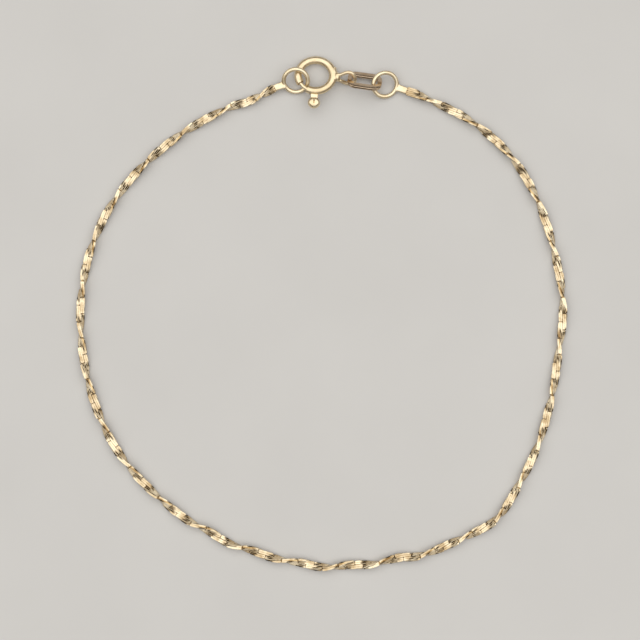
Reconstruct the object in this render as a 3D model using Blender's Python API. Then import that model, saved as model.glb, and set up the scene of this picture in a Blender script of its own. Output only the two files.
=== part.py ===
"""Cobra chain bracelet, closed with its spring ring clasp and lying flat.

Metres, +Z up. The chain's loop lies in the XY plane, the clasp is at +Y, and the
bracelet rests on Z = 0. Clockwise means clockwise as seen from above.
"""
import math

import bpy
import bmesh
import numpy as np
from mathutils import Matrix, Vector

MM = 0.001
UP = Vector((0, 0, 1))

# Chain: two rows of flat links side by side, twisted into a left-handed strand
CHAIN_WIDTH = 1.0 * MM
CHAIN_THICKNESS = 0.5 * MM
LINK_PITCH = 2.06 * MM
LINK_GAP = 0.26 * MM
SEAM_WIDTH = 0.16 * MM
SEAM_DEPTH = 0.1 * MM
NECK_DEPTH = 0.12 * MM
NECK_THICKNESS = 0.55 * CHAIN_THICKNESS

# End rings and the flat plates that join them to the chain
END_RING_OUTSIDE = 3.54 * MM
END_RING_WIRE = 0.52 * MM
END_PLATE_LENGTH = 1.2 * MM
END_PLATE_WIDTH = 0.86 * MM
END_PLATE_THICKNESS = 0.4 * MM
END_PLATE_SUNK = 0.35 * END_RING_WIRE

# Clasp case: a slightly oval hollow tube with a gap for the bolt
CASE_LENGTH = 4.35 * MM
CASE_BREADTH = 4.03 * MM
CASE_TUBE = 0.96 * MM
CASE_BORE = 0.68 * MM
CASE_WALL = (CASE_TUBE - CASE_BORE) / 2
CASE_TILT = math.radians(11.5)
MOUTH_ANGLE = math.radians(208)
CASE_END_ANGLE = math.radians(239)

# Clasp bolt with its stem and thumb ball
BOLT_WIRE = 0.5 * MM
BOLT_SEAT = math.radians(5)
BOLT_TAIL = math.radians(22)
BOLT_TRAVEL = math.radians(36)
STEM_ANGLE = math.radians(267)
STEM_WIDTH = 0.92 * MM
STEM_THICKNESS = 0.24 * MM
STEM_REACH = 0.65 * MM
STEM_CLEARANCE = 0.06 * MM
BALL_WIDTH = 1.44 * MM
BALL_LENGTH = 1.3 * MM
BALL_THICKNESS = 1.1 * MM
BALL_ON_STEM = 0.3 * BALL_LENGTH
LOBE_WIDTH = 0.62 * BALL_WIDTH

# Clasp loop: a drop-shaped wire, both ends soldered to a collar on the case
LOOP_LENGTH = 2.7 * MM
LOOP_BREADTH = 2.6 * MM
LOOP_WIRE = 0.46 * MM
LOOP_PINCH = 0.8
LOOP_OPENING = math.radians(34)
LOOP_SUNK = 0.85 * CASE_WALL
LOOP_TILT = math.radians(39)
LOOP_RISE = 0.09 * MM
COLLAR_START = math.radians(-16)
COLLAR_END = math.radians(24)
COLLAR_HEIGHT = 0.1 * MM
COLLAR_SPREAD = math.radians(75)

# Tag link: a flat plate with a long slot
TAG_LENGTH = 4.3 * MM
TAG_HEIGHT = 3.0 * MM
TAG_THICKNESS = 0.34 * MM
TAG_BAR = 0.82 * MM
TAG_END_BAR = 0.52 * MM
TAG_CORNER = 0.36 * TAG_HEIGHT
TAG_SLOT_CORNER = 0.45 * (TAG_HEIGHT - 2 * TAG_BAR)
TAG_TILT = math.radians(44)
TAG_TURN = math.radians(-8)
TAG_BEVEL = 0.06 * MM

# Gap between pieces that touch on the real bracelet
CLEARANCE = 0.1 * MM

# Places of the clasp's pieces, in millimetres from the middle of the bracelet
CASE_CENTRE = (-0.74, 29.75)
RIGHT_RING_CENTRE = (7.94, 28.62)
LEFT_RING_CENTRE = (-3.21, 29.1)
LOOP_CENTRE = (3.07, 29.26)
TAG_CENTRE = (5.38, 29.0)

# Slope of each end ring: how far it tips up, and towards which side
RIGHT_RING_SLOPE = (math.radians(22), math.radians(122))
LEFT_RING_SLOPE = (math.radians(28), math.radians(90))

# The chain's route on the surface, clockwise from the right end ring, in millimetres
ROUTE = (
    (9.5, 28.3), (13.2, 26.9), (19.1, 23.8), (24.0, 19.3), (27.3, 13.5), (29.2, 7.4),
    (30.2, 1.1), (29.6, -5.1), (28.6, -11.2), (26.7, -17.3), (23.7, -23.1), (21.7, -25.8),
    (18.8, -27.5), (12.8, -30.1), (9.6, -30.5), (6.5, -31.3), (3.4, -31.4), (0.3, -31.7),
    (-2.7, -31.1), (-5.8, -30.6), (-8.6, -29.6), (-11.6, -28.7), (-14.2, -27.1),
    (-16.9, -25.7), (-21.6, -21.8), (-25.6, -17.0), (-28.3, -11.3), (-29.8, -5.2),
    (-30.1, 1.2), (-29.0, 7.5), (-26.4, 13.4), (-22.4, 18.4), (-17.5, 22.5),
    (-12.0, 25.6), (-9.0, 26.6), (-6.1, 28.2), (-4.7, 28.5),
)

# How the chain is twisted: share of its length, and half turns made up to there
TWIST = (
    (0.0, -0.5), (0.009, -0.5), (0.027, 0.0), (0.307, 8.0), (0.424, 12.0),
    (0.989, 29.0), (1.0, 29.5),
)
# Length over which each chain end settles from its ring down to the chain's own height
END_SETTLE = 3.0 * MM

GOLD = (0.83, 0.62, 0.3, 1.0)


def gold(name, roughness):
    """A polished yellow gold of its own for each piece."""
    material = bpy.data.materials.new(name)
    material.use_nodes = True
    shader = material.node_tree.nodes["Principled BSDF"]
    shader.inputs["Base Color"].default_value = GOLD
    shader.inputs["Metallic"].default_value = 1.0
    shader.inputs["Roughness"].default_value = roughness
    return material


def new_object(name, bm, material=None, smooth_angle=35):
    """Turn a bmesh into an object with outward faces, smooth shaded up to an angle."""
    bmesh.ops.recalc_face_normals(bm, faces=bm.faces)
    mesh = bpy.data.meshes.new(name)
    bm.to_mesh(mesh)
    bm.free()
    mesh.shade_smooth()
    mesh.set_sharp_from_angle(angle=math.radians(smooth_angle))
    if material is not None:
        mesh.materials.append(material)
    obj = bpy.data.objects.new(name, mesh)
    bpy.context.scene.collection.objects.link(obj)
    return obj


def join_by_boolean(obj, other, operation):
    """Fuse another shape to an object, or cut it away, and hide that shape."""
    modifier = obj.modifiers.new(operation.title(), "BOOLEAN")
    modifier.operation = operation
    modifier.solver = "EXACT"
    modifier.object = other
    other.hide_render = True
    other.display_type = "WIRE"


def loft(bm, sections, closed=False):
    """Skin a list of point loops into one body, with flat caps unless it closes."""
    loops = []
    for section in sections:
        loops.append([bm.verts.new(point) for point in section])
    pairs = list(zip(loops, loops[1:]))
    if closed:
        pairs.append((loops[-1], loops[0]))
    for near, far in pairs:
        count = len(near)
        for i in range(count):
            j = (i + 1) % count
            bm.faces.new((near[i], near[j], far[j], far[i]))
    if not closed:
        bm.faces.new(loops[0][::-1])
        bm.faces.new(loops[-1])


def wire_outline(point, side, up, diameter, sides):
    """Outline of round wire about a point."""
    outline = []
    for k in range(sides):
        angle = 2 * math.pi * (k + 0.5) / sides
        outline.append(point + (side * math.cos(angle) + up * math.sin(angle)) * diameter / 2)
    return outline


def wire_ring(outside, wire, around=20, sides=8):
    """A closed ring of round wire, flat in the XY plane about its own origin."""
    radius = (outside - wire) / 2
    sections = []
    for i in range(around):
        turn = 2 * math.pi * i / around
        out = Vector((math.cos(turn), math.sin(turn), 0))
        sections.append(wire_outline(out * radius, out, UP, wire, sides))
    bm = bmesh.new()
    loft(bm, sections, closed=True)
    return bm


def slope_matrix(angle, towards):
    """The turn that tips a flat piece up by an angle on the side that lies towards."""
    hinge = Vector((-math.sin(towards), math.cos(towards), 0))
    return Matrix.Rotation(-angle, 4, hinge)


def ring_rise(slope, around):
    """How far above its centre a sloping end ring's wire is, at a place around it."""
    radius = (END_RING_OUTSIDE - END_RING_WIRE) / 2
    return radius * math.sin(slope[0]) * math.cos(around - slope[1])


def ring_centre(place, slope):
    """Centre of an end ring whose lowest side rests on the surface."""
    lowest = ring_rise(slope, slope[1] + math.pi)
    return Vector((place[0] * MM, place[1] * MM, END_RING_WIRE / 2 - lowest))


class Route:
    """The chain's centre line, by distance from its right end."""

    STEPS = 24

    def __init__(self, points, right_height, left_height):
        flat = np.array(points) * MM
        ends = np.vstack((2 * flat[0] - flat[1], flat, 2 * flat[-1] - flat[-2]))
        line = []
        for a, b, c, d in zip(ends, ends[1:], ends[2:], ends[3:]):
            for t in np.arange(self.STEPS) / self.STEPS:
                bend = 2 * a - 5 * b + 4 * c - d + t * (3 * (b - c) + d - a)
                line.append(b + 0.5 * t * (c - a + t * bend))
        line.append(flat[-1])
        self.line = np.array(line)
        steps = np.linalg.norm(np.diff(self.line, axis=0), axis=1)
        self.distance = np.concatenate(([0.0], np.cumsum(steps)))
        self.length = self.distance[-1]
        self.right_height = right_height
        self.left_height = left_height

    def flat_point(self, s):
        return np.array([np.interp(s, self.distance, self.line[:, i]) for i in (0, 1)])

    def height(self, s):
        """Height of the centre line: the chain's own, but its ring's at each end."""
        own = math.hypot(CHAIN_WIDTH, CHAIN_THICKNESS) / 2
        height = own
        for ring_height, away in ((self.right_height, s), (self.left_height, self.length - s)):
            share = min(1.0, max(0.0, 1 - away / END_SETTLE))
            height += (ring_height - own) * share * share * (3 - 2 * share)
        return height

    def twist(self, s):
        """Turn of the chain's width away from level; it turns over to the inside."""
        shares, turns = zip(*TWIST)
        return math.pi / 2 - math.pi * float(np.interp(s / self.length, shares, turns))

    def frame(self, s, flat=False):
        """Centre, direction of the width and direction of the thickness at s."""
        reach = CHAIN_WIDTH / 2
        ahead = self.flat_point(s + reach) - self.flat_point(s - reach)
        along = Vector((ahead[0], ahead[1], 0)).normalized()
        outward = Vector((-along.y, along.x, 0))
        turn = 0.0 if flat else self.twist(s)
        width = outward * math.cos(turn) + Vector((0, 0, math.sin(turn)))
        thickness = width.cross(along)
        x, y = self.flat_point(s)
        return Vector((x, y, self.height(s))), width, thickness


def chain_section(route, s, pinched):
    """Outline of the strand at s: two rows side by side, one of them pinched or none."""
    centre, width, thickness = route.frame(s)
    half_width = CHAIN_WIDTH / 2
    half_thickness = CHAIN_THICKNESS / 2
    inner = SEAM_WIDTH / 2
    section = [(0.0, half_thickness - SEAM_DEPTH)]
    for side in (1, -1):
        narrow = side == pinched
        outer = half_width - (NECK_DEPTH if narrow else 0.0)
        high = NECK_THICKNESS / 2 if narrow else half_thickness
        row = [(inner, high), (outer, high), (outer, -high), (inner, -high)]
        if side == 1:
            section += row + [(0.0, SEAM_DEPTH - half_thickness)]
        else:
            section += [(-u, v) for u, v in reversed(row)]
    return [centre + width * u + thickness * v for u, v in section]


def chain_half(name, route, start, end, material):
    """One half of the chain: rows of links set half a link apart, like bricks."""
    half_pitch = LINK_PITCH / 2
    first = END_PLATE_LENGTH + CLEARANCE + half_pitch / 2
    sections = [chain_section(route, start, 0)]
    count = int((route.length - 2 * first) / half_pitch)
    for j in range(count + 1):
        s = first + j * half_pitch
        if start + LINK_GAP < s < end - LINK_GAP:
            row = 1 if j % 2 == 0 else -1
            sections.append(chain_section(route, s - LINK_GAP / 2, 0))
            sections.append(chain_section(route, s, row))
            sections.append(chain_section(route, s + LINK_GAP / 2, 0))
    sections.append(chain_section(route, end, 0))
    bm = bmesh.new()
    loft(bm, sections)
    return new_object(name, bm, material, smooth_angle=20)


def end_ring(name, route, place, slope, plate_from, plate_to, material):
    """An end ring with the flat plate that is soldered between it and the chain."""
    ring = new_object(name, wire_ring(END_RING_OUTSIDE, END_RING_WIRE), material)
    ring.matrix_world = Matrix.Translation(ring_centre(place, slope)) @ slope_matrix(*slope)
    _, width, thickness = route.frame(plate_to, flat=True)
    u = width * END_PLATE_WIDTH / 2
    v = thickness * END_PLATE_THICKNESS / 2
    sections = []
    for s in (plate_from, plate_to):
        centre, _, _ = route.frame(s)
        sections.append([centre + u + v, centre - u + v, centre - u - v, centre + u - v])
    bm = bmesh.new()
    loft(bm, sections)
    plate = new_object(name + "_plate_shape", bm)
    join_by_boolean(ring, plate, "UNION")
    return ring


def case_point(turn):
    """Centre of the case's tube, and the way out of the oval, at an angle around it."""
    a = CASE_LENGTH / 2
    b = CASE_BREADTH / 2
    reach = 1 / math.hypot(math.cos(turn) / a, math.sin(turn) / b)
    point = Vector((math.cos(turn), math.sin(turn), 0)) * reach
    out = Vector((point.x / a ** 2, point.y / b ** 2, 0)).normalized()
    return point, out


def bolt_circle():
    """Centre height and radius of the circle that follows the case's lower half."""
    mouth, _ = case_point(MOUTH_ANGLE)
    bottom = -CASE_BREADTH / 2
    centre = (mouth.length_squared - bottom ** 2) / (2 * (mouth.y - bottom))
    return centre, centre - bottom


def tube_sections(start, end, count, radii):
    """Outlines around the case's tube; radii gives each corner's angle and radius."""
    sections = []
    for i in range(count + 1):
        point, out = case_point(start + (end - start) * i / count)
        section = []
        for angle, radius in radii:
            section.append(point + (out * math.cos(angle) + UP * math.sin(angle)) * radius)
        sections.append(section)
    return sections


def case_tube_mesh(diameter, sides, past_ends=0.0, around=40):
    """A solid round bar along the case, as far as its two ends or a little past them."""
    radii = [(2 * math.pi * k / sides, diameter / 2) for k in range(sides)]
    start = CASE_END_ANGLE - past_ends
    end = MOUTH_ANGLE + 2 * math.pi + past_ends
    bm = bmesh.new()
    loft(bm, tube_sections(start, end, around, radii))
    return bm


def slot_cutter():
    """The curved slot in the case's outer side that the stem runs along."""
    centre, radius = bolt_circle()
    half_stem = STEM_WIDTH / 2 + CLEARANCE
    start = STEM_ANGLE - half_stem / radius
    end = STEM_ANGLE + BOLT_TRAVEL + half_stem / radius
    half_height = STEM_THICKNESS / 2 + STEM_CLEARANCE
    steps = 12
    sections = []
    for i in range(steps + 1):
        turn = start + (end - start) * i / steps
        out = Vector((math.cos(turn), math.sin(turn), 0))
        near = Vector((0, centre, 0)) + out * radius
        far = near + out * CASE_TUBE
        up = Vector((0, 0, half_height))
        sections.append([near - up, far - up, far + up, near + up])
    bm = bmesh.new()
    loft(bm, sections)
    return new_object("slot_shape", bm)


def loop_shape():
    """The clasp's loop: a drop-shaped run of wire with two short legs into the case's wall."""
    power = LOOP_PINCH
    widest = 2 * ((power + 1) / (power + 2)) ** ((power + 1) / 2) / math.sqrt(power + 2)
    half_length = (LOOP_LENGTH - LOOP_WIRE) / 2
    half_breadth = (LOOP_BREADTH - LOOP_WIRE) / 2 / widest
    steps = 18
    path = []
    for i in range(steps + 1):
        u = LOOP_OPENING + 2 * (math.pi - LOOP_OPENING) * i / steps
        y = half_breadth * math.sin(u) * math.sin(u / 2) ** power
        path.append(Vector((-half_length * math.cos(u), y, 0)))
    wall = CASE_CENTRE[0] * MM + CASE_LENGTH / 2 + CASE_TUBE / 2 - LOOP_SUNK
    reach = (wall - LOOP_CENTRE[0] * MM) / math.cos(TAG_TURN)
    path = [Vector((reach, path[0].y, 0))] + path + [Vector((reach, path[-1].y, 0))]
    for i in (1, -2):
        path[i] = (path[i - 1] + 2 * path[i] + path[i + 1]) / 4
    sections = []
    for i, point in enumerate(path):
        along = path[min(i + 1, len(path) - 1)] - path[max(i - 1, 0)]
        sections.append(wire_outline(point, along.cross(UP).normalized(), UP, LOOP_WIRE, 6))
    bm = bmesh.new()
    loft(bm, sections)
    return new_object("loop_shape", bm)


def collar_shape():
    """The low solder pad on the case's outer side that carries the loop."""
    foot = (CASE_TUBE - CASE_WALL) / 2
    steps = 6
    outer = []
    inner = []
    for k in range(steps + 1):
        share = 2 * k / steps - 1
        height = COLLAR_HEIGHT * math.sqrt(max(0.0, math.cos(share * math.pi / 2)))
        outer.append((share * COLLAR_SPREAD, CASE_TUBE / 2 + height))
        inner.append((-share * COLLAR_SPREAD, foot))
    bm = bmesh.new()
    loft(bm, tube_sections(COLLAR_START, COLLAR_END, steps, outer + inner))
    return new_object("collar_shape", bm)


def case_matrix():
    """Place of the case: its far side on the surface, its trigger side tipped up."""
    rise = CASE_BREADTH / 2 * math.sin(CASE_TILT) + CASE_TUBE / 2
    place = Vector((CASE_CENTRE[0] * MM, CASE_CENTRE[1] * MM, rise))
    return Matrix.Translation(place) @ Matrix.Rotation(-CASE_TILT, 4, "X")


def spring_ring_case(material):
    """The case with its slot, solder collar and loop: soldered metal, so one solid."""
    case = new_object("spring_ring_case", case_tube_mesh(CASE_TUBE, 14), material)
    case.matrix_world = case_matrix()
    bore = new_object("bore_shape", case_tube_mesh(CASE_BORE, 10, past_ends=math.radians(3)))
    bore.matrix_world = case_matrix()
    join_by_boolean(case, bore, "DIFFERENCE")
    slot = slot_cutter()
    slot.matrix_world = case_matrix()
    join_by_boolean(case, slot, "DIFFERENCE")
    collar = collar_shape()
    collar.matrix_world = case_matrix()
    join_by_boolean(case, collar, "UNION")
    loop = loop_shape()
    height = case.matrix_world.translation.z + LOOP_RISE
    place = Matrix.Translation((LOOP_CENTRE[0] * MM, LOOP_CENTRE[1] * MM, height))
    place = place @ Matrix.Rotation(TAG_TURN, 4, "Z")
    loop.matrix_world = place @ Matrix.Rotation(LOOP_TILT, 4, "X")
    join_by_boolean(case, loop, "UNION")
    return case


def trigger_bolt(material):
    """The sliding bolt, stem and thumb ball; its origin is on the axis that it turns about."""
    centre, radius = bolt_circle()
    steps = 14
    sides = 10
    start = MOUTH_ANGLE - BOLT_SEAT
    end = STEM_ANGLE + BOLT_TAIL
    sections = []
    for i in range(steps + 1):
        turn = start + (end - start) * i / steps
        out = Vector((math.cos(turn), math.sin(turn), 0))
        sections.append(wire_outline(out * radius, out, UP, BOLT_WIRE, sides))
    bm = bmesh.new()
    loft(bm, sections)
    bolt = new_object("trigger_bolt", bm, material)

    outward = Matrix.Rotation(STEM_ANGLE, 4, "Z")
    ball_at = radius + CASE_TUBE / 2 + STEM_REACH + BALL_ON_STEM
    bm = bmesh.new()
    stem_from = radius + BOLT_WIRE / 4
    size = Matrix.Diagonal((ball_at - stem_from, STEM_WIDTH, STEM_THICKNESS, 1))
    middle = Matrix.Translation(((ball_at + stem_from) / 2, 0, 0))
    bmesh.ops.create_cube(bm, size=1, matrix=outward @ middle @ size)
    stem = new_object("stem_shape", bm)
    shapes = [stem]
    for side in (1, -1):
        bm = bmesh.new()
        size = Matrix.Diagonal((BALL_LENGTH, LOBE_WIDTH, BALL_THICKNESS, 1))
        place = Matrix.Translation((ball_at, side * (BALL_WIDTH - LOBE_WIDTH) / 2, 0))
        bmesh.ops.create_uvsphere(bm, u_segments=12, v_segments=8, radius=0.5,
                                  matrix=outward @ place @ size)
        shapes.append(new_object("ball_shape", bm))
    place = case_matrix() @ Matrix.Translation((0, centre, 0))
    bolt.matrix_world = place
    for shape in shapes:
        shape.matrix_world = place
        join_by_boolean(bolt, shape, "UNION")
    return bolt


def tag_outline(length, height, corner, steps):
    """A long shape with round corners, about the origin, counterclockwise."""
    points = []
    for quarter, (sx, sy) in enumerate(((1, 1), (-1, 1), (-1, -1), (1, -1))):
        centre = Vector((sx * (length / 2 - corner), sy * (height / 2 - corner), 0))
        for k in range(steps + 1):
            a = math.pi / 2 * (quarter + k / steps)
            points.append(centre + Vector((math.cos(a), math.sin(a), 0)) * corner)
    return points


def tag_link(material):
    """The flat slotted link, tipped up on its far edge between the two rings it joins."""
    half = TAG_THICKNESS / 2
    slot_length = TAG_LENGTH - 2 * TAG_END_BAR
    slot_height = TAG_HEIGHT - 2 * TAG_BAR
    bm = bmesh.new()
    outer = tag_outline(TAG_LENGTH, TAG_HEIGHT, TAG_CORNER, 4)
    loft(bm, [[p + Vector((0, 0, z)) for p in outer] for z in (-half, half)])
    tag = new_object("tag_link", bm, material)
    bm = bmesh.new()
    inner = tag_outline(slot_length, slot_height, TAG_SLOT_CORNER, 3)
    loft(bm, [[p + Vector((0, 0, z)) for p in inner] for z in (-TAG_HEIGHT, TAG_HEIGHT)])
    slot = new_object("tag_slot_shape", bm)
    height = TAG_HEIGHT / 2 * math.sin(TAG_TILT) + half * math.cos(TAG_TILT)
    place = Matrix.Translation((TAG_CENTRE[0] * MM, TAG_CENTRE[1] * MM, height))
    place = place @ Matrix.Rotation(TAG_TURN, 4, "Z") @ Matrix.Rotation(-TAG_TILT, 4, "X")
    tag.matrix_world = place
    slot.matrix_world = place
    join_by_boolean(tag, slot, "DIFFERENCE")
    bevel = tag.modifiers.new("Bevel", "BEVEL")
    bevel.width = TAG_BEVEL
    bevel.segments = 1
    bevel.limit_method = "ANGLE"
    bevel.angle_limit = math.radians(50)
    return tag


def build():
    for obj in list(bpy.data.objects):
        bpy.data.objects.remove(obj)

    def join_height(place, slope, point):
        around = math.atan2(point[1] - place[1], point[0] - place[0])
        return ring_centre(place, slope).z + ring_rise(slope, around)

    route = Route(ROUTE,
                  join_height(RIGHT_RING_CENTRE, RIGHT_RING_SLOPE, ROUTE[0]),
                  join_height(LEFT_RING_CENTRE, LEFT_RING_SLOPE, ROUTE[-1]))
    end_ring("end_ring_right", route, RIGHT_RING_CENTRE, RIGHT_RING_SLOPE,
             -END_PLATE_SUNK, END_PLATE_LENGTH, gold("right_ring_gold", 0.2))
    end_ring("end_ring_left", route, LEFT_RING_CENTRE, LEFT_RING_SLOPE,
             route.length + END_PLATE_SUNK, route.length - END_PLATE_LENGTH,
             gold("left_ring_gold", 0.2))
    chain_from = END_PLATE_LENGTH + CLEARANCE
    middle = route.length / 2
    chain_half("cobra_chain_right", route, chain_from, middle - CLEARANCE / 2,
               gold("right_chain_gold", 0.25))
    chain_half("cobra_chain_left", route, middle + CLEARANCE / 2, route.length - chain_from,
               gold("left_chain_gold", 0.25))
    spring_ring_case(gold("case_gold", 0.18))
    trigger_bolt(gold("bolt_gold", 0.18))
    tag_link(gold("tag_gold", 0.3))


build()
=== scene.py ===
"""Cobra chain bracelet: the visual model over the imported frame, in metres, +Z up."""
import math
import random

import bmesh
import bpy
import numpy as np
from mathutils import Matrix, Vector


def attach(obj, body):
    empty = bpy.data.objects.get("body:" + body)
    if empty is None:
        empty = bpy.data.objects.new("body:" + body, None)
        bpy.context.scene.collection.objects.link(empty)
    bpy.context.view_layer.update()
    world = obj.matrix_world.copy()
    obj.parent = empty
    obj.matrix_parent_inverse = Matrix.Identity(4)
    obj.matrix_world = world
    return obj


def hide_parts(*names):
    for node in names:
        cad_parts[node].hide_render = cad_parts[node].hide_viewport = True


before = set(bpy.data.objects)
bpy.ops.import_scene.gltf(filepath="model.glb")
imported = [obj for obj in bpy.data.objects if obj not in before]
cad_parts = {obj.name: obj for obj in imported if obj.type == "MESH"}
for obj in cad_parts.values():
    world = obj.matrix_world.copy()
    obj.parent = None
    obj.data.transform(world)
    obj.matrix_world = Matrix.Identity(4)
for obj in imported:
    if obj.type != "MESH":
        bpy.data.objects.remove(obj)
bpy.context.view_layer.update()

MM = 0.001
UP = Vector((0, 0, 1))
random.seed(7)

# Sizes and places: the solids' own, apart from a few that are fitted more closely
CHAIN_WIDTH = 1.0 * MM
CHAIN_THICKNESS = 0.5 * MM
LINK_PITCH = 2.06 * MM
END_RING_OUTSIDE = 3.54 * MM
END_RING_WIRE = 0.52 * MM
END_PLATE_LENGTH = 1.2 * MM
END_PLATE_WIDTH = 0.86 * MM
END_PLATE_THICKNESS = 0.4 * MM
CASE_LENGTH = 4.35 * MM
CASE_BREADTH = 4.03 * MM
CASE_TUBE = 0.96 * MM
CASE_BORE = 0.68 * MM
CASE_TILT = math.radians(11.5)
MOUTH_ANGLE = math.radians(208)
CASE_END_ANGLE = math.radians(239)
BOLT_WIRE = 0.44 * MM
BOLT_SEAT = math.radians(5)
BOLT_TAIL = math.radians(22)
BOLT_TRAVEL = math.radians(36)
STEM_ANGLE = math.radians(267)
STEM_WIDTH = 0.92 * MM
STEM_THICKNESS = 0.24 * MM
STEM_REACH = 0.65 * MM
STEM_CLEARANCE = 0.06 * MM
BALL_WIDTH = 1.44 * MM
BALL_LENGTH = 1.3 * MM
BALL_THICKNESS = 1.1 * MM
BALL_ON_STEM = 0.3 * BALL_LENGTH
BALL_SHIFT = 0.08 * MM
LOOP_LENGTH = 2.7 * MM
LOOP_BREADTH = 2.6 * MM
LOOP_WIRE = 0.46 * MM
LOOP_PINCH = 0.8
LOOP_OPENING = math.radians(46)
LOOP_SUNK = 0.85 * (CASE_TUBE - CASE_BORE) / 2
LOOP_TILT = math.radians(39)
LOOP_RISE = 0.09 * MM
COLLAR_START = math.radians(-16)
COLLAR_END = math.radians(24)
COLLAR_HEIGHT = 0.1 * MM
COLLAR_SPREAD = math.radians(75)
TAG_LENGTH = 4.3 * MM
TAG_HEIGHT = 3.0 * MM
TAG_THICKNESS = 0.34 * MM
TAG_BAR = 0.82 * MM
TAG_END_BAR = 0.52 * MM
TAG_CORNER = 0.36 * TAG_HEIGHT
TAG_TILT = math.radians(44)
TAG_TURN = math.radians(-8)
CLEARANCE = 0.1 * MM
CASE_CENTRE = (-0.74 * MM, 29.75 * MM)
RIGHT_RING_CENTRE = (7.94 * MM, 28.62 * MM)
LEFT_RING_CENTRE = (-3.21 * MM, 29.1 * MM)
LOOP_CENTRE = (3.07 * MM, 29.26 * MM)
TAG_CENTRE = (5.38 * MM, 29.0 * MM)
RIGHT_RING_SLOPE = (math.radians(22), math.radians(122))
LEFT_RING_SLOPE = (math.radians(28), math.radians(90))
END_SETTLE = 3.0 * MM

# The chain's route, clockwise from the right end ring, in metres
ROUTE = (
    (0.0095, 0.0283), (0.0132, 0.0269), (0.0191, 0.0238), (0.0240, 0.0193),
    (0.0273, 0.0135), (0.0292, 0.0074), (0.0302, 0.0011), (0.0296, -0.0051),
    (0.0286, -0.0112), (0.0267, -0.0173), (0.0237, -0.0231), (0.0217, -0.0258),
    (0.0188, -0.0275), (0.0128, -0.0301), (0.0096, -0.0305), (0.0065, -0.0313),
    (0.0034, -0.0314), (0.0003, -0.0317), (-0.0027, -0.0311), (-0.0058, -0.0306),
    (-0.0086, -0.0296), (-0.0116, -0.0287), (-0.0142, -0.0271), (-0.0169, -0.0257),
    (-0.0216, -0.0218), (-0.0256, -0.0170), (-0.0283, -0.0113), (-0.0298, -0.0052),
    (-0.0301, 0.0012), (-0.0290, 0.0075), (-0.0264, 0.0134), (-0.0224, 0.0184),
    (-0.0175, 0.0225), (-0.0120, 0.0256), (-0.0090, 0.0266), (-0.0061, 0.0281),
    (-0.0047, 0.0286),
)
TWIST = (
    (0.0, -0.5), (0.009, -0.5), (0.027, 0.0), (0.307, 8.0), (0.424, 12.0),
    (0.9724, 28.5), (0.983, 29.0), (0.9935, 29.5), (1.0, 29.5),
)


# Materials
def new_material(name):
    material = bpy.data.materials.new(name)
    material.use_nodes = True
    tree = material.node_tree
    return material, tree, tree.nodes["Principled BSDF"]


def ramp(tree, source, stops):
    node = tree.nodes.new("ShaderNodeValToRGB")
    tree.links.new(source, node.inputs["Fac"])
    elements = node.color_ramp.elements
    while len(elements) < len(stops):
        elements.new(0.5)
    for element, (place, color) in zip(elements, stops):
        element.position = place
        element.color = color
    return node.outputs["Color"]


def noise(tree, scale, detail, stretch=(1, 1, 1), roughness=0.5):
    coords = tree.nodes.new("ShaderNodeTexCoord")
    mapping = tree.nodes.new("ShaderNodeMapping")
    mapping.inputs["Scale"].default_value = stretch
    tree.links.new(coords.outputs["Object"], mapping.inputs["Vector"])
    texture = tree.nodes.new("ShaderNodeTexNoise")
    texture.inputs["Scale"].default_value = scale
    texture.inputs["Detail"].default_value = detail
    texture.inputs["Roughness"].default_value = roughness
    tree.links.new(mapping.outputs["Vector"], texture.inputs["Vector"])
    return texture.outputs["Fac"]


# Scales, stops and depth of the surfaces' noise
DRIFT_SCALE = 900
WEAR_SCALE = 5200
SCRATCH_SCALE = 14000
FLOOR_SCALE = 60
DRIFT_STOPS = (0.36, 0.62)
WEAR_RANGE = (0.3, 0.72)
SCRATCH_DEPTH = 0.04 * MM


def gold(name, light, deep, roughness, bump, stretch=(1, 1, 1)):
    """Polished gold: slow colour drift, fine wear in the polish and faint scratches."""
    material, tree, shader = new_material(name)
    shader.inputs["Metallic"].default_value = 1.0
    stops = zip(DRIFT_STOPS, (deep + (1,), light + (1,)))
    color = ramp(tree, noise(tree, DRIFT_SCALE, 3), tuple(stops))
    tree.links.new(color, shader.inputs["Base Color"])
    wear = noise(tree, WEAR_SCALE, 6, stretch, 0.62)
    rough = tree.nodes.new("ShaderNodeMapRange")
    names = ("From Min", "From Max", "To Min", "To Max")
    for socket, value in zip(names, WEAR_RANGE + roughness):
        rough.inputs[socket].default_value = value
    tree.links.new(wear, rough.inputs["Value"])
    tree.links.new(rough.outputs["Result"], shader.inputs["Roughness"])
    scratches = noise(tree, SCRATCH_SCALE, 5, stretch, 0.6)
    bumps = tree.nodes.new("ShaderNodeBump")
    bumps.inputs["Strength"].default_value = bump
    bumps.inputs["Distance"].default_value = SCRATCH_DEPTH
    tree.links.new(scratches, bumps.inputs["Height"])
    tree.links.new(bumps.outputs["Normal"], shader.inputs["Normal"])
    return material


# Light colour, deep colour, lowest and highest roughness, strength of the scratches
chain_gold = gold("chain_gold", (0.82, 0.70, 0.50), (0.48, 0.36, 0.21), (0.10, 0.22), 0.12)
# The core's dark brown gold is painted shade for the holes between the link ends
core_painted_shade_gold = gold("core_painted_shade_gold", (0.26, 0.16, 0.08), (0.13, 0.08, 0.04), (0.35, 0.55), 0.2)
ring_gold = gold("ring_gold", (0.86, 0.74, 0.53), (0.76, 0.62, 0.40), (0.28, 0.42), 0.05)
case_gold = gold("case_gold", (0.82, 0.69, 0.475), (0.71, 0.57, 0.36), (0.28, 0.42), 0.05)
bolt_gold = gold("bolt_gold", (0.86, 0.74, 0.53), (0.76, 0.62, 0.40), (0.24, 0.38), 0.05)
# The tag's wear runs along its bars. Its gold is darker than the rest: a painted dark reflection
# on its flat faces
tag_gold = gold("tag_gold", (0.60, 0.47, 0.34), (0.50, 0.37, 0.25), (0.12, 0.24), 0.03,
                (0.12, 1, 1))


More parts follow.
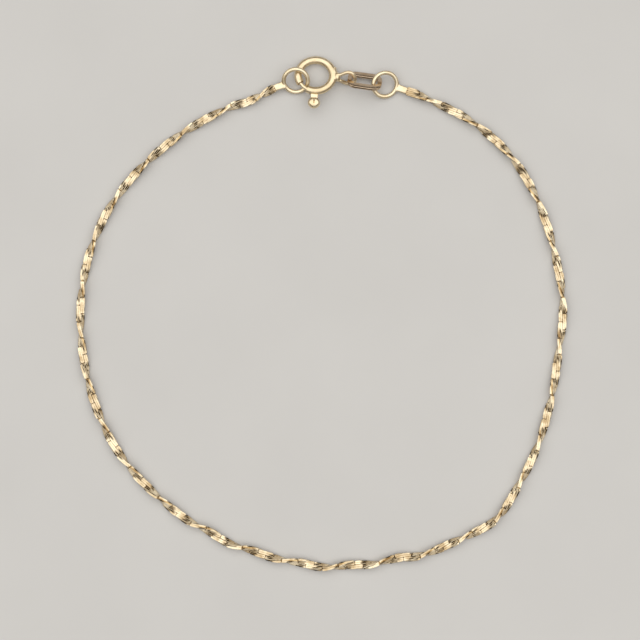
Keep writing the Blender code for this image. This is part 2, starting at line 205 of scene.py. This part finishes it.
# Mesh helpers
def loft(bm, sections, closed=False):
    loops = [[bm.verts.new(point) for point in section] for section in sections]
    pairs = list(zip(loops, loops[1:]))
    if closed:
        pairs.append((loops[-1], loops[0]))
    for near, far in pairs:
        count = len(near)
        for i in range(count):
            j = (i + 1) % count
            bm.faces.new((near[i], near[j], far[j], far[i]))
    if not closed:
        bm.faces.new(loops[0][::-1])
        bm.faces.new(loops[-1])


def ring_of_points(point, side, up, radius_side, radius_up, sides):
    out = []
    for k in range(sides):
        angle = 2 * math.pi * (k + 0.5) / sides
        out.append(point + side * (math.cos(angle) * radius_side)
                   + up * (math.sin(angle) * radius_up))
    return out


def mesh_object(name, bm, material, smooth_angle=35):
    bmesh.ops.recalc_face_normals(bm, faces=bm.faces)
    mesh = bpy.data.meshes.new(name)
    bm.to_mesh(mesh)
    bm.free()
    mesh.shade_smooth()
    mesh.set_sharp_from_angle(angle=math.radians(smooth_angle))
    mesh.materials.append(material)
    obj = bpy.data.objects.new(name, mesh)
    bpy.context.scene.collection.objects.link(obj)
    return obj


def applied(obj):
    """Replace an object's mesh by what its modifiers make of it."""
    bpy.context.view_layer.update()
    deps = bpy.context.evaluated_depsgraph_get()
    mesh = bpy.data.meshes.new_from_object(obj.evaluated_get(deps), depsgraph=deps)
    obj.modifiers.clear()
    obj.data = mesh


def cut(obj, others):
    """Take other objects' shapes out of an object."""
    for other in others:
        modifier = obj.modifiers.new("DIFFERENCE", "BOOLEAN")
        modifier.operation = "DIFFERENCE"
        modifier.solver = "EXACT"
        modifier.object = other
    applied(obj)
    for other in others:
        bpy.data.objects.remove(other)


def remeshed(obj, voxel, smooth):
    """Melt an object's shapes together, as solder does."""
    modifier = obj.modifiers.new("Remesh", "REMESH")
    modifier.mode = "VOXEL"
    modifier.voxel_size = voxel
    modifier.use_smooth_shade = True
    relax = obj.modifiers.new("Smooth", "CORRECTIVE_SMOOTH")
    relax.iterations = smooth
    relax.use_only_smooth = True
    applied(obj)
    obj.data.shade_smooth()
    obj.data.set_sharp_from_angle(angle=math.radians(60))
    return obj


def joined(objects):
    """Join several objects' meshes into the first."""
    first = objects[0]
    bm = bmesh.new()
    for obj in objects:
        part = bmesh.new()
        part.from_mesh(obj.data)
        part.transform(obj.matrix_world)
        temp = bpy.data.meshes.new("temp")
        part.to_mesh(temp)
        part.free()
        bm.from_mesh(temp)
        bpy.data.meshes.remove(temp)
    bm.to_mesh(first.data)
    bm.free()
    first.matrix_world = Matrix.Identity(4)
    for obj in objects[1:]:
        bpy.data.objects.remove(obj)
    return first


def place(obj, matrix):
    obj.data.transform(matrix)
    return obj


# The chain's route
def slope_matrix(slope):
    angle, towards = slope
    return Matrix.Rotation(-angle, 4, Vector((-math.sin(towards), math.cos(towards), 0)))


def ring_rise(slope, around):
    radius = (END_RING_OUTSIDE - END_RING_WIRE) / 2
    return radius * math.sin(slope[0]) * math.cos(around - slope[1])


def ring_centre(centre, slope):
    lowest = ring_rise(slope, slope[1] + math.pi)
    return Vector((centre[0], centre[1], END_RING_WIRE / 2 - lowest))


class Route:
    """The chain's centre line, by distance from its right end."""

    STEPS = 24

    def __init__(self, points):
        flat = np.array(points)
        ends = np.vstack((2 * flat[0] - flat[1], flat, 2 * flat[-1] - flat[-2]))
        line = []
        for a, b, c, d in zip(ends, ends[1:], ends[2:], ends[3:]):
            for t in np.arange(self.STEPS) / self.STEPS:
                bend = 2 * a - 5 * b + 4 * c - d + t * (3 * (b - c) + d - a)
                line.append(b + 0.5 * t * (c - a + t * bend))
        line.append(flat[-1])
        self.line = np.array(line)
        steps = np.linalg.norm(np.diff(self.line, axis=0), axis=1)
        self.distance = np.concatenate(([0.0], np.cumsum(steps)))
        self.length = self.distance[-1]
        self.right_height = self.join_height(RIGHT_RING_CENTRE, RIGHT_RING_SLOPE, points[0])
        self.left_height = self.join_height(LEFT_RING_CENTRE, LEFT_RING_SLOPE, points[-1])

    @staticmethod
    def join_height(centre, slope, point):
        around = math.atan2(point[1] - centre[1], point[0] - centre[0])
        return ring_centre(centre, slope).z + ring_rise(slope, around)

    def flat_point(self, s):
        return np.array([np.interp(s, self.distance, self.line[:, i]) for i in (0, 1)])

    def height(self, s):
        own = math.hypot(CHAIN_WIDTH, CHAIN_THICKNESS) / 2
        height = own
        ends = ((self.right_height, s), (self.left_height, self.length - s))
        for ring_height, away in ends:
            share = min(1.0, max(0.0, 1 - away / END_SETTLE))
            height += (ring_height - own) * share * share * (3 - 2 * share)
        return height

    def centre(self, s):
        x, y = self.flat_point(s)
        return Vector((x, y, self.height(s)))

    def twist(self, s):
        shares, turns = zip(*TWIST)
        return math.pi / 2 - math.pi * float(np.interp(s / self.length, shares, turns))

    def along(self, s):
        ahead = self.flat_point(s + CHAIN_WIDTH / 2) - self.flat_point(s - CHAIN_WIDTH / 2)
        return Vector((ahead[0], ahead[1], 0)).normalized()

    def axes(self, s, turn):
        along = self.along(s)
        width = Vector((-along.y, along.x, 0)) * math.cos(turn) + UP * math.sin(turn)
        return width, width.cross(along)


route = Route(ROUTE)

LINK_END_GAP = 0.012 * MM
LINK_SHORTEST = 0.8 * MM
LINK_CORNER = 0.03 * MM
PLATE_GAP = 0.01 * MM
ROW_INSIDE = 0.006 * MM
# Half width and depth of the grooves between a link's strands
FACE_GROOVE = (0.022 * MM, 0.032 * MM)
SIDE_GROOVE = (0.05 * MM, 0.09 * MM)
# How far each link may differ from the next: roll in degrees, lean and shift in mm
LINK_ROLL = (-4, 4)
LINK_STIFFNESS = (0.8, 1.0)
LINK_PITCHING = (-0.015, 0.015)
LINK_LEAN = (-0.012, 0.018)
LINK_SHIFT = (-0.008, 0.008)
# Stations of a link from its tip inwards: distance, share of the width, share of the height
LINK_TIP = (
    (0.0, 0.48, 0.74), (0.025 * MM, 0.68, 0.92), (0.06 * MM, 0.84, 0.98),
    (0.11 * MM, 0.95, 1.0), (0.17 * MM, 1.0, 1.0),
)


def link_profile(w, h, lean):
    """Outline of four fine strands, with a groove between each two; w and h are half sizes."""
    half, deep = FACE_GROOVE
    outline = [(w, h - LINK_CORNER), (w - LINK_CORNER, h)]
    outline += [(half, h - lean), (0, h - deep - lean), (-half, h - lean)]
    half, deep = SIDE_GROOVE
    outline += [(LINK_CORNER - w, h), (-w, h - LINK_CORNER), (-w, half), (deep - w, 0)]
    return outline + [(-u, -v) for u, v in outline]


def add_link(bm, start, end, side):
    """One folded link of one row, from start to end along the route."""
    mid = (start + end) / 2
    half_length = (end - start - LINK_END_GAP) / 2
    half_width = (CHAIN_WIDTH / 2 - ROW_INSIDE) / 2
    stations = [(-half_length + t, w, h) for t, w, h in LINK_TIP]
    stations += [(half_length * share, 1.0, 1.0) for share in (-0.5, 0, 0.5)]
    stations += [(half_length - t, w, h) for t, w, h in reversed(LINK_TIP)]
    roll = math.radians(random.uniform(*LINK_ROLL))
    stiff = random.uniform(*LINK_STIFFNESS)
    pitch = random.uniform(*LINK_PITCHING)
    lean = random.uniform(*LINK_LEAN) * MM
    shift = random.uniform(*LINK_SHIFT) * MM
    mid_twist = route.twist(mid)
    sections = []
    for t, width_share, height_share in stations:
        turn = mid_twist + stiff * (route.twist(mid + t) - mid_twist) + roll
        width, thickness = route.axes(mid + t, turn)
        centre = route.centre(mid + t) + width * (side * (ROW_INSIDE + half_width) + shift)
        centre = centre + thickness * (pitch * t)
        w = half_width * width_share
        h = CHAIN_THICKNESS / 2 * height_share
        profile = link_profile(w, h, lean)
        sections.append([centre + width * u + thickness * v for u, v in profile])
    loft(bm, sections)


def link_ends(offset):
    """Where one row's links meet, from end plate to end plate."""
    low = END_PLATE_LENGTH + PLATE_GAP
    high = route.length - low
    first = END_PLATE_LENGTH + CLEARANCE + LINK_PITCH / 4 + offset
    inside = [s for s in np.arange(first - LINK_PITCH, high, LINK_PITCH)
              if low + LINK_SHORTEST < s < high - LINK_SHORTEST]
    return [low] + inside + [high]


def chain_links():
    halves = {"right": bmesh.new(), "left": bmesh.new()}
    for side, offset in ((1, 0.0), (-1, LINK_PITCH / 2)):
        ends = link_ends(offset)
        for start, end in zip(ends, ends[1:]):
            half = "right" if start + end < route.length else "left"
            add_link(halves[half], start, end, side)
    for half, bm in halves.items():
        links = mesh_object("cobra_links_" + half, bm, chain_gold, 22)
        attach(links, "bracelet")
        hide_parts("cobra_chain_" + half)


CORE_HALF_WIDTH = 0.33 * MM
CORE_HALF_THICKNESS = 0.1 * MM
CORE_STEP = 0.35 * MM
CORE_IN_PLATE = 0.05 * MM


def chain_core():
    """The inner run of the weave, seen only through the small holes between link ends; its dark
    brown is painted shade.
    """
    bm = bmesh.new()
    sections = []
    w = CORE_HALF_WIDTH
    h = CORE_HALF_THICKNESS
    start = END_PLATE_LENGTH - CORE_IN_PLATE
    end = route.length - start
    steps = int((end - start) / CORE_STEP)
    for i in range(steps + 1):
        s = start + (end - start) * i / steps
        width, thickness = route.axes(s, route.twist(s))
        centre = route.centre(s)
        corners = ((w, h), (-w, h), (-w, -h), (w, -h))
        sections.append([centre + width * u + thickness * v for u, v in corners])
    loft(bm, sections)
    core = mesh_object("cobra_core", bm, core_painted_shade_gold, 40)
    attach(core, "bracelet")


# End rings
def torus(outside, wire, around, sides):
    bm = bmesh.new()
    sections = []
    radius = (outside - wire) / 2
    for i in range(around):
        turn = 2 * math.pi * i / around
        out = Vector((math.cos(turn), math.sin(turn), 0))
        sections.append(ring_of_points(out * radius, out, UP, wire / 2, wire / 2, sides))
    loft(bm, sections, closed=True)
    return bm


def soft_box(centre, width, thickness, w, h):
    """A rectangle with rounded corners about a point; w and h are half sizes."""
    steps = 4
    r = 0.5 * h
    out = []
    for quarter, (sx, sy) in enumerate(((1, 1), (-1, 1), (-1, -1), (1, -1))):
        for k in range(steps + 1):
            a = math.pi / 2 * (quarter + k / steps)
            u = sx * (w - r) + r * math.cos(a)
            v = sy * (h - r) + r * math.sin(a)
            out.append(centre + width * u + thickness * v)
    return out


# A plate's stations: distance from the ring's wire in mm, shares of its width and thickness
PLATE_SHAPE = (
    (-0.22, 0.6, 0.4), (-0.19, 0.9, 0.75), (-0.12, 1.12, 1.02), (-0.02, 1.24, 1.18),
    (0.08, 1.2, 1.16), (0.18, 1.08, 1.08), (0.3, 1.0, 1.02), (0.7, 1.0, 1.0),
    (1.12, 1.0, 1.0), (1.2, 0.94, 0.86),
)
CROWN_POINTS = 32


def crowned(centre, width, thickness, w, h):
    """A flat section with a crowned face and rounded edges."""
    out = []
    for k in range(CROWN_POINTS):
        turn = 2 * math.pi * (k + 0.5) / CROWN_POINTS
        u = math.copysign(abs(math.cos(turn)) ** 0.5, math.cos(turn))
        v = math.copysign(abs(math.sin(turn)) ** 0.75, math.sin(turn))
        out.append(centre + width * (u * w) + thickness * (v * h))
    return out


def end_ring(side, centre, slope, from_right):
    """A round wire ring with the flat plate that its end is soldered to."""
    wire = torus(END_RING_OUTSIDE, END_RING_WIRE, 96, 24)
    ring = mesh_object("ring_wire_" + side, wire, ring_gold)
    place(ring, Matrix.Translation(ring_centre(centre, slope)) @ slope_matrix(slope))
    edge = END_PLATE_LENGTH if from_right else route.length - END_PLATE_LENGTH
    along = route.along(edge)
    width = Vector((-along.y, along.x, 0))
    thickness = width.cross(along)
    start = 0.0 if from_right else route.length
    inwards = 1 if from_right else -1
    sections = []
    for away, w, h in PLATE_SHAPE:
        point = route.centre(start + inwards * max(away, 0.0) * MM)
        point = point + along * (inwards * min(away, 0.0) * MM)
        sections.append(crowned(point, width, thickness, w * END_PLATE_WIDTH / 2,
                                h * END_PLATE_THICKNESS / 2))
    bm = bmesh.new()
    loft(bm, sections)
    plate = mesh_object("plate", bm, ring_gold, 40)
    both = joined([ring, plate])
    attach(both, "bracelet")
    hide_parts("end_ring_" + side)


# The clasp
MELT_VOXEL = 0.026 * MM
MELT_PASSES = 10


def case_matrix():
    rise = CASE_BREADTH / 2 * math.sin(CASE_TILT) + CASE_TUBE / 2
    return Matrix.Translation((*CASE_CENTRE, rise)) @ Matrix.Rotation(-CASE_TILT, 4, "X")


def case_point(turn):
    a = CASE_LENGTH / 2
    b = CASE_BREADTH / 2
    reach = 1 / math.hypot(math.cos(turn) / a, math.sin(turn) / b)
    point = Vector((math.cos(turn), math.sin(turn), 0)) * reach
    return point, Vector((point.x / a ** 2, point.y / b ** 2, 0)).normalized()


def bolt_circle():
    mouth, _ = case_point(MOUTH_ANGLE)
    bottom = -CASE_BREADTH / 2
    centre = (mouth.length_squared - bottom ** 2) / (2 * (mouth.y - bottom))
    return centre, centre - bottom


def case_shell():
    """The hollow tube, with a rounded lip at each end of its gap."""
    lip = 0.05 * MM
    steps = 120
    start = CASE_END_ANGLE
    end = MOUTH_ANGLE + 2 * math.pi
    lip_angle = lip / (CASE_LENGTH / 2)
    inner = CASE_BORE / 2
    outer = CASE_TUBE / 2
    run = [start + lip_angle + (end - start - 2 * lip_angle) * i / steps for i in range(1, steps)]
    # Shares of the lip's size, along and across the wall, at steps of its quarter round
    quarter = [math.pi / 2 * k / 4 for k in range(5)]
    bends = [(1 - math.sin(a), 1 - math.cos(a)) for a in quarter]
    # Out round the near lip, along the outside, in round the far lip and back along the bore
    stations = [(start + lip_angle * p, inner + lip * q) for p, q in bends]
    stations += [(start + lip_angle * q, outer - lip * p) for p, q in bends]
    stations += [(turn, outer) for turn in run]
    stations += [(end - lip_angle * p, outer - lip * q) for p, q in bends]
    stations += [(end - lip_angle * q, inner + lip * p) for p, q in bends]
    stations += [(turn, inner) for turn in reversed(run)]
    sections = []
    for turn, radius in stations:
        point, out = case_point(turn)
        sections.append(ring_of_points(point, out, UP, radius, radius, 32))
    bm = bmesh.new()
    loft(bm, sections, closed=True)
    return mesh_object("spring_ring", bm, case_gold, 40)


def slot_cutter():
    centre, radius = bolt_circle()
    half_stem = STEM_WIDTH / 2 + CLEARANCE
    start = STEM_ANGLE - half_stem / radius
    end = STEM_ANGLE + BOLT_TRAVEL + half_stem / radius
    half_height = STEM_THICKNESS / 2 + STEM_CLEARANCE
    steps = 36
    sections = []
    for i in range(steps + 1):
        share = i / steps
        turn = start + (end - start) * share
        out = Vector((math.cos(turn), math.sin(turn), 0))
        near = Vector((0, centre, 0)) + out * radius
        far = near + out * CASE_TUBE
        ending = min(share, 1 - share) * (end - start) * radius
        round_off = math.sqrt(max(0.02, 1 - max(0.0, 1 - ending / half_height) ** 2))
        up = UP * half_height * round_off
        sections.append([near - up, far - up, far + up, near + up])
    bm = bmesh.new()
    loft(bm, sections)
    return mesh_object("slot", bm, case_gold)


# The loop's lower half hangs steeper than its upper half: shares of its breadth and of its drop
LOWER_BREADTH = 0.46
LOWER_DROP = 1.1
LOOP_SOFTENING = 10


def loop_path(steps):
    """The loop's centre line, tilted about its own length."""
    power = LOOP_PINCH
    widest = 2 * ((power + 1) / (power + 2)) ** ((power + 1) / 2) / math.sqrt(power + 2)
    half_length = (LOOP_LENGTH - LOOP_WIRE) / 2
    half_breadth = (LOOP_BREADTH - LOOP_WIRE) / 2 / widest
    flat = []
    for i in range(steps + 1):
        u = LOOP_OPENING + 2 * (math.pi - LOOP_OPENING) * i / steps
        across = half_breadth * math.sin(u) * math.sin(u / 2) ** power
        flat.append((-half_length * math.cos(u), across))
    wall = CASE_CENTRE[0] + CASE_LENGTH / 2 + CASE_TUBE / 2 - LOOP_SUNK
    root = (wall - LOOP_CENTRE[0]) / math.cos(TAG_TURN)
    leg = [flat[0][0] + (root - flat[0][0]) * k / 4 for k in range(1, 5)]
    flat = [(x, flat[0][1]) for x in reversed(leg)] + flat + [(x, flat[-1][1]) for x in leg]
    path = []
    for x, y in flat:
        breadth, drop = (1, 1) if y > 0 else (LOWER_BREADTH, LOWER_DROP)
        path.append(Vector((x, y * breadth * math.cos(LOOP_TILT),
                            y * drop * math.sin(LOOP_TILT))))
    for _ in range(LOOP_SOFTENING):
        inner = [(a + 2 * b + c) / 4 for a, b, c in zip(path, path[1:], path[2:])]
        path = [path[0]] + inner + [path[-1]]
    return path


def bent_wire(path, wire, sides):
    sections = []
    for i, point in enumerate(path):
        along = (path[min(i + 1, len(path) - 1)] - path[max(i - 1, 0)]).normalized()
        side = along.cross(UP).normalized()
        sections.append(ring_of_points(point, side, side.cross(along), wire / 2, wire / 2, sides))
    bm = bmesh.new()
    loft(bm, sections)
    return mesh_object("wire", bm, case_gold)


def blob(centre, size, turn):
    """A drop of solder."""
    bm = bmesh.new()
    matrix = Matrix.Translation(centre) @ Matrix.Rotation(turn, 4, "Z")
    matrix = matrix @ Matrix.Diagonal((*size, 1))
    bmesh.ops.create_uvsphere(bm, u_segments=24, v_segments=16, radius=0.5, matrix=matrix)
    return mesh_object("blob", bm, case_gold)


# How far the collar's rim sinks into the case, as a share of the collar's height
COLLAR_SUNK = 0.4


def collar():
    """A low saddle of solder on the case's outside."""
    foot = (CASE_TUBE + CASE_BORE) / 4
    spread = 12
    steps = 24
    sections = []
    for i in range(steps + 1):
        share = min(max(i / steps, 0.02), 0.98)
        point, out = case_point(COLLAR_START + (COLLAR_END - COLLAR_START) * i / steps)
        ease = min(1.0, 1.25 * math.sqrt(math.sin(math.pi * share)))
        section = []
        for k in range(spread + 1):
            a = 2 * k / spread - 1
            angle = a * COLLAR_SPREAD
            bulge = ease * math.sqrt(max(0.0, math.cos(a * math.pi / 2)))
            reach = CASE_TUBE / 2 + COLLAR_HEIGHT * ((1 + COLLAR_SUNK) * bulge - COLLAR_SUNK)
            section.append(point + (out * math.cos(angle) + UP * math.sin(angle)) * reach)
        for k in range(spread + 1):
            angle = (1 - 2 * k / spread) * COLLAR_SPREAD
            section.append(point + (out * math.cos(angle) + UP * math.sin(angle)) * foot)
        sections.append(section)
    bm = bmesh.new()
    loft(bm, sections)
    return place(mesh_object("collar", bm, case_gold), case_matrix())


# The knobs of solder at the collar's two ends and the puddle at the loop's foot
KNOB_ANGLES = (math.radians(20), math.radians(-9))
KNOB_SIZE = (0.40 * MM, 0.36 * MM, 0.84 * MM)
KNOB_SUNK = 0.06 * MM
PUDDLE_CENTRE = (1.95 * MM, 29.57 * MM, 1.0 * MM)
PUDDLE_SIZE = (0.74 * MM, 1.2 * MM, 0.96 * MM)
PUDDLE_TURN = 0.1


def spring_ring():
    """The case with its slot, and the collar, loop and solder melted together."""
    shell = case_shell()
    cut(shell, [slot_cutter()])
    place(shell, case_matrix())
    loop = bent_wire(loop_path(72), LOOP_WIRE, 20)
    rise = case_matrix().translation.z + LOOP_RISE
    place(loop, Matrix.Translation((*LOOP_CENTRE, rise)) @ Matrix.Rotation(TAG_TURN, 4, "Z"))
    soft = [collar(), loop, blob(PUDDLE_CENTRE, PUDDLE_SIZE, PUDDLE_TURN)]
    for angle in KNOB_ANGLES:
        point, out = case_point(angle)
        knob = blob(point + out * (CASE_TUBE / 2 - KNOB_SUNK), KNOB_SIZE, angle)
        soft.append(place(knob, case_matrix()))
    solder = remeshed(joined(soft), MELT_VOXEL, MELT_PASSES)
    case = joined([shell, solder])
    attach(case, "bracelet")
    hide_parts("spring_ring_case")


# The bolt's nose, the ball's two lobes and its slits
BOLT_NOSE = 0.18 * MM
NOSE_TIP = 0.55
LOBE_WIDTH = 0.84
LOBE_SPREAD = 0.1
LOBE_LEAN = 0.05
LOBE_TAPER = 0.3
LOBE_FLATNESS = 1.3
# Room for what the smoothing takes off
LOBE_ROOM = 1.04
BALL_VOXEL = 0.024 * MM
BALL_PASSES = 9
SLIT_SIZE = (0.56 * MM, 0.2 * MM, 0.6 * MM)
SLIT_INSET = 0.08 * MM
SLIT_HEIGHT = 0.46 * MM


def bolt(radius):
    """The bent wire, with a rounded nose at the mouth's side."""
    start = MOUTH_ANGLE - BOLT_SEAT
    end = STEM_ANGLE + BOLT_TAIL
    steps = 60
    sections = []
    for i in range(steps + 1):
        turn = start + (end - start) * i / steps
        out = Vector((math.cos(turn), math.sin(turn), 0))
        share = min(1.0, (turn - start) * radius / BOLT_NOSE)
        round_off = math.sqrt(max(0.0, 1 - (1 - share) ** 2))
        r = BOLT_WIRE / 2 * (NOSE_TIP + (1 - NOSE_TIP) * round_off)
        sections.append(ring_of_points(out * radius, out, UP, r, r, 24))
    bm = bmesh.new()
    loft(bm, sections)
    return mesh_object("trigger", bm, bolt_gold)


def stem(start, end):
    """The flat strip from the bolt to the ball, slightly waisted."""
    steps = 16
    sections = []
    for i in range(steps + 1):
        share = i / steps
        waist = 1.04 - 0.07 * math.sin(math.pi * share) ** 2
        point = Vector((start + (end - start) * share, 0, 0))
        sections.append(soft_box(point, Vector((0, 1, 0)), UP,
                                 STEM_WIDTH / 2 * waist, STEM_THICKNESS / 2))
    bm = bmesh.new()
    loft(bm, sections)
    return mesh_object("stem", bm, bolt_gold)


def lobe(ball_at, side):
    """One half of the thumb ball: flattened above and below, and tapered outwards."""
    width = LOBE_WIDTH * BALL_WIDTH
    bm = bmesh.new()
    bmesh.ops.create_uvsphere(bm, u_segments=40, v_segments=28, radius=0.5)
    for vert in bm.verts:
        x, y, z = vert.co
        outer = max(0.0, x * 2) ** 2
        taper = 1 - LOBE_TAPER * outer
        z = math.tanh(LOBE_FLATNESS * 2 * z) / math.tanh(LOBE_FLATNESS) / 2
        size = Vector((x * BALL_LENGTH, y * width * taper, z * BALL_THICKNESS * taper))
        vert.co = size * LOBE_ROOM
        vert.co.y -= side * LOBE_LEAN * BALL_WIDTH * outer
    bmesh.ops.translate(bm, verts=bm.verts, vec=(ball_at, side * BALL_WIDTH * LOBE_SPREAD, 0))
    return mesh_object("lobe", bm, bolt_gold)


def slit(ball_at, top):
    """The cutter for the small slit in the ball's upper or lower side."""
    bm = bmesh.new()
    bmesh.ops.create_uvsphere(bm, u_segments=20, v_segments=12, radius=0.5)
    middle = Matrix.Translation((ball_at - SLIT_INSET, 0, top * SLIT_HEIGHT))
    bm.transform(middle @ Matrix.Diagonal((*SLIT_SIZE, 1)))
    return mesh_object("slit", bm, bolt_gold)


def trigger():
    """The bolt's bent wire with its flat stem and its two-lobed thumb ball."""
    centre, radius = bolt_circle()
    wire = bolt(radius)
    ball_at = radius + CASE_TUBE / 2 + STEM_REACH + BALL_ON_STEM + BALL_SHIFT
    shapes = [stem(radius + BOLT_WIRE / 4, ball_at), lobe(ball_at, 1), lobe(ball_at, -1)]
    ball = remeshed(joined(shapes), BALL_VOXEL, BALL_PASSES)
    cut(ball, [slit(ball_at, 1), slit(ball_at, -1)])
    ball.data.shade_smooth()
    ball.data.set_sharp_from_angle(angle=math.radians(50))
    place(ball, Matrix.Rotation(STEM_ANGLE, 4, "Z"))
    whole = joined([wire, ball])
    place(whole, case_matrix() @ Matrix.Translation((0, centre, 0)))
    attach(whole, "trigger")
    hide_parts("trigger_bolt")


# The tag link
TAG_EDGE = 0.07 * MM
TAG_CORNER_STEPS = 12


def tag_outline(length, height, corner):
    steps = TAG_CORNER_STEPS
    points = []
    for quarter, (sx, sy) in enumerate(((1, 1), (-1, 1), (-1, -1), (1, -1))):
        centre = Vector((sx * (length / 2 - corner), sy * (height / 2 - corner), 0))
        for k in range(steps + 1):
            a = math.pi / 2 * (quarter + k / steps)
            points.append(centre + Vector((math.cos(a), math.sin(a), 0)) * corner)
    return points


def tag_line(inset, z, outer):
    """One line round the tag's outside or its slot, inset towards the bars' middles."""
    if outer:
        size = (TAG_LENGTH - 2 * inset, TAG_HEIGHT - 2 * inset, TAG_CORNER - inset)
    else:
        slot_height = TAG_HEIGHT - 2 * TAG_BAR
        corner = 0.45 * slot_height
        size = (TAG_LENGTH - 2 * TAG_END_BAR + 2 * inset, slot_height + 2 * inset, corner + inset)
    return [p + UP * z for p in tag_outline(*size)]


def tag():
    """A slotted plate with rounded edges: one closed surface round the slot."""
    half = TAG_THICKNESS / 2
    turned = [(TAG_EDGE * (1 - math.sin(a)), half - TAG_EDGE * (1 - math.cos(a)))
              for a in (math.pi / 2 * k / 4 for k in range(5))]
    lines = [(inset, -z, True) for inset, z in turned]
    lines += [(inset, z, True) for inset, z in reversed(turned)]
    lines += [(inset, z, False) for inset, z in turned]
    lines += [(inset, -z, False) for inset, z in reversed(turned)]
    bm = bmesh.new()
    loft(bm, [tag_line(*line) for line in lines], closed=True)
    plate = mesh_object("tag_plate", bm, tag_gold, 40)
    height = TAG_HEIGHT / 2 * math.sin(TAG_TILT) + half * math.cos(TAG_TILT)
    matrix = Matrix.Translation((*TAG_CENTRE, height)) @ Matrix.Rotation(TAG_TURN, 4, "Z")
    place(plate, matrix @ Matrix.Rotation(-TAG_TILT, 4, "X"))
    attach(plate, "bracelet")
    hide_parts("tag_link")


# The floor, the light and the camera
FLOOR_HALF = 1.5
FLOOR_STOPS = ((0.3, (0.54, 0.53, 0.515, 1)), (0.7, (0.56, 0.55, 0.535, 1)))
KEY_DIRECTION = (-0.06, 0.16, 0.985)
KEY_SPREAD = 2.3
KEY_STOPS = (
    (0.0, (0.034, 0.028, 0.023, 1)), (0.42, (0.038, 0.032, 0.027, 1)),
    (0.62, (0.15, 0.14, 0.13, 1)), (0.76, (1.0, 0.985, 0.955, 1)),
)
FRONT_DIRECTION = (0.08, -0.80, 0.595)
FRONT_STOPS = ((0.89, (0, 0, 0, 1)), (0.97, (0.42, 0.41, 0.395, 1)))
LIGHT_STRENGTH = 1.58
VIEW_WIDTH = 80 * MM
VIEW_CENTRE = (-0.1875 * MM, -0.775 * MM)
VIEW_HEIGHT = 0.6 * MM
LENS = 100
SENSOR = 36


def floor():
    material, tree, shader = new_material("floor")
    color = ramp(tree, noise(tree, FLOOR_SCALE, 5), FLOOR_STOPS)
    tree.links.new(color, shader.inputs["Base Color"])
    shader.inputs["Roughness"].default_value = 0.75
    bm = bmesh.new()
    bmesh.ops.create_grid(bm, x_segments=1, y_segments=1, size=FLOOR_HALF)
    mesh_object("floor", bm, material)


def room():
    """One wide soft light overhead, a dimmer one in front, and a dim horizon."""
    world = bpy.data.worlds.new("studio")
    bpy.context.scene.world = world
    world.use_nodes = True
    nodes = world.node_tree.nodes
    links = world.node_tree.links
    coords = nodes.new("ShaderNodeTexCoord")

    def vector_math(operation, source):
        node = nodes.new("ShaderNodeVectorMath")
        node.operation = operation
        links.new(source, node.inputs[0])
        return node

    def patch(direction, spread, stops):
        """Light about a direction, spread wider from left to right."""
        squeezed = vector_math("MULTIPLY", coords.outputs["Generated"])
        squeezed.inputs[1].default_value = (1 / spread, 1, 1)
        unit = vector_math("NORMALIZE", squeezed.outputs["Vector"])
        facing = vector_math("DOT_PRODUCT", unit.outputs["Vector"])
        facing.inputs[1].default_value = direction
        return ramp(world.node_tree, facing.outputs["Value"], stops)

    both = vector_math("MAXIMUM", patch(KEY_DIRECTION, KEY_SPREAD, KEY_STOPS))
    links.new(patch(FRONT_DIRECTION, 1, FRONT_STOPS), both.inputs[1])
    links.new(both.outputs["Vector"], nodes["Background"].inputs["Color"])
    nodes["Background"].inputs["Strength"].default_value = LIGHT_STRENGTH


def camera():
    """A view from straight above that is VIEW_WIDTH wide at VIEW_HEIGHT over the floor."""
    data = bpy.data.cameras.new("camera")
    data.lens = LENS
    data.sensor_width = SENSOR
    data.clip_start = 0.01
    obj = bpy.data.objects.new("camera", data)
    obj.location = (*VIEW_CENTRE, VIEW_WIDTH * LENS / SENSOR + VIEW_HEIGHT)
    bpy.context.scene.collection.objects.link(obj)
    bpy.context.scene.camera = obj


bpy.context.scene.view_settings.view_transform = "Standard"
camera()
floor()
room()
chain_links()
chain_core()
end_ring("right", RIGHT_RING_CENTRE, RIGHT_RING_SLOPE, True)
end_ring("left", LEFT_RING_CENTRE, LEFT_RING_SLOPE, False)
spring_ring()
trigger()
tag()
